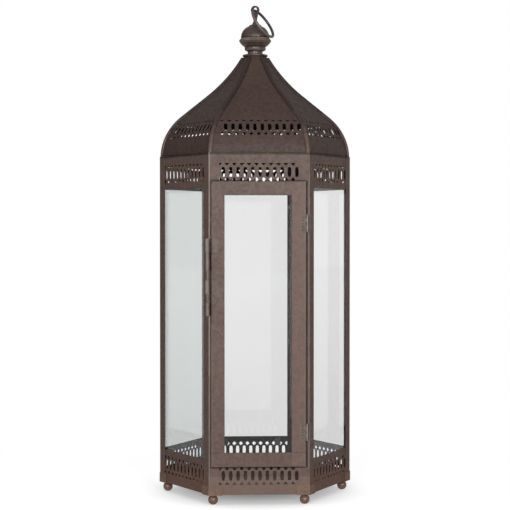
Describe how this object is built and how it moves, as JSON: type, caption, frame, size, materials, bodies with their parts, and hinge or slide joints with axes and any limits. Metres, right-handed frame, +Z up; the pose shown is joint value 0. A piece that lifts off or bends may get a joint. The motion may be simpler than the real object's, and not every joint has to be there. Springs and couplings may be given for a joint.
{
  "type": "floor lantern",
  "caption": "Tall hexagonal glazed candle lantern of pierced sheet metal with an ogee roof, hinged door, barrel bolt, ball feet and a loose top ring.",
  "frame": {"origin": "on the floor, in the middle of the six ball feet, under the axis of the hexagonal body", "axes": "+Z up along the lantern's axis, the door faces -Y, a corner of the hexagon points along +X"},
  "size_m": [0.3118, 0.2832, 0.7883],
  "materials": {
    "sheet_iron": "dark bronze-brown lacquer over sheet iron, rubbed lighter on the edges",
    "roof_sheet": "dark bronze-brown lacquer, satin, a little darker than the walls",
    "turned_iron": "dark bronze-brown lacquer on turned and forged pieces, satin",
    "hardware": "bronze-brown lacquer on folded hinges and bolt, rubbed bright on the edges",
    "bare_steel": "plain steel, dulled",
    "pane_glass": "clear sheet glass with a faint green cast"
  },
  "bodies": {
    "lantern": {"corner_post_right": "sheet_iron", "corner_post_back_right": "sheet_iron", "corner_post_back_left": "sheet_iron", "corner_post_left": "sheet_iron", "corner_post_front_left": "sheet_iron", "corner_post_front_right": "sheet_iron", "plinth_panel_front": "sheet_iron", "plinth_panel_front_right": "sheet_iron", "plinth_panel_back_right": "sheet_iron", "plinth_panel_back": "sheet_iron", "plinth_panel_back_left": "sheet_iron", "plinth_panel_front_left": "sheet_iron", "frieze_panel_front": "sheet_iron", "frieze_panel_front_right": "sheet_iron", "frieze_panel_back_right": "sheet_iron", "frieze_panel_back": "sheet_iron", "frieze_panel_back_left": "sheet_iron", "frieze_panel_front_left": "sheet_iron", "roof_panel_front": "roof_sheet", "roof_panel_front_right": "roof_sheet", "roof_panel_back_right": "roof_sheet", "roof_panel_back": "roof_sheet", "roof_panel_back_left": "roof_sheet", "roof_panel_front_left": "roof_sheet", "roof_rib_right": "roof_sheet", "roof_rib_back_right": "roof_sheet", "roof_rib_back_left": "roof_sheet", "roof_rib_left": "roof_sheet", "roof_rib_front_left": "roof_sheet", "roof_rib_front_right": "roof_sheet", "glass_pane_front_right": "pane_glass", "glass_pane_back_right": "pane_glass", "glass_pane_back": "pane_glass", "glass_pane_back_left": "pane_glass", "glass_pane_front_left": "pane_glass", "pane_clips": "sheet_iron", "base_plate": "sheet_iron", "foot_brackets": "sheet_iron", "ball_feet": "turned_iron", "foot_screws": "bare_steel", "roof_collar": "turned_iron", "finial_neck": "turned_iron", "finial_bowl": "turned_iron", "finial_dome": "turned_iron", "hanger_stem": "turned_iron", "hanger_nut": "bare_steel", "hinge_frame_leaves": "hardware", "hinge_pins": "bare_steel", "hinge_frame_rivets": "hardware", "latch_keeper": "hardware"},
    "door": {"door_frame": "sheet_iron", "door_glass": "pane_glass", "door_glass_clips": "sheet_iron", "hinge_door_leaves": "hardware", "hinge_door_rivets": "hardware", "latch_guides": "hardware"},
    "bolt": {"latch_bolt": "hardware"},
    "ring": {"hanging_ring": "turned_iron"}
  },
  "joints": [
    {"name": "door_hinge", "type": "hinge", "parent": "lantern", "child": "door", "pos_m": [0.0739, -0.13813, 0.2735], "axis": [0, 0, 1], "range_deg": [0, 165]},
    {"name": "bolt_slide", "type": "slide", "parent": "door", "child": "bolt", "axis": [0, 0, -1], "range_m": [0, 0.014]},
    {"name": "ring_swing", "type": "hinge", "parent": "lantern", "child": "ring", "pos_m": [0, 0, 0.7801], "axis": [-0.4695, -0.8829, 0], "range_deg": [0, 295]}
  ]
}
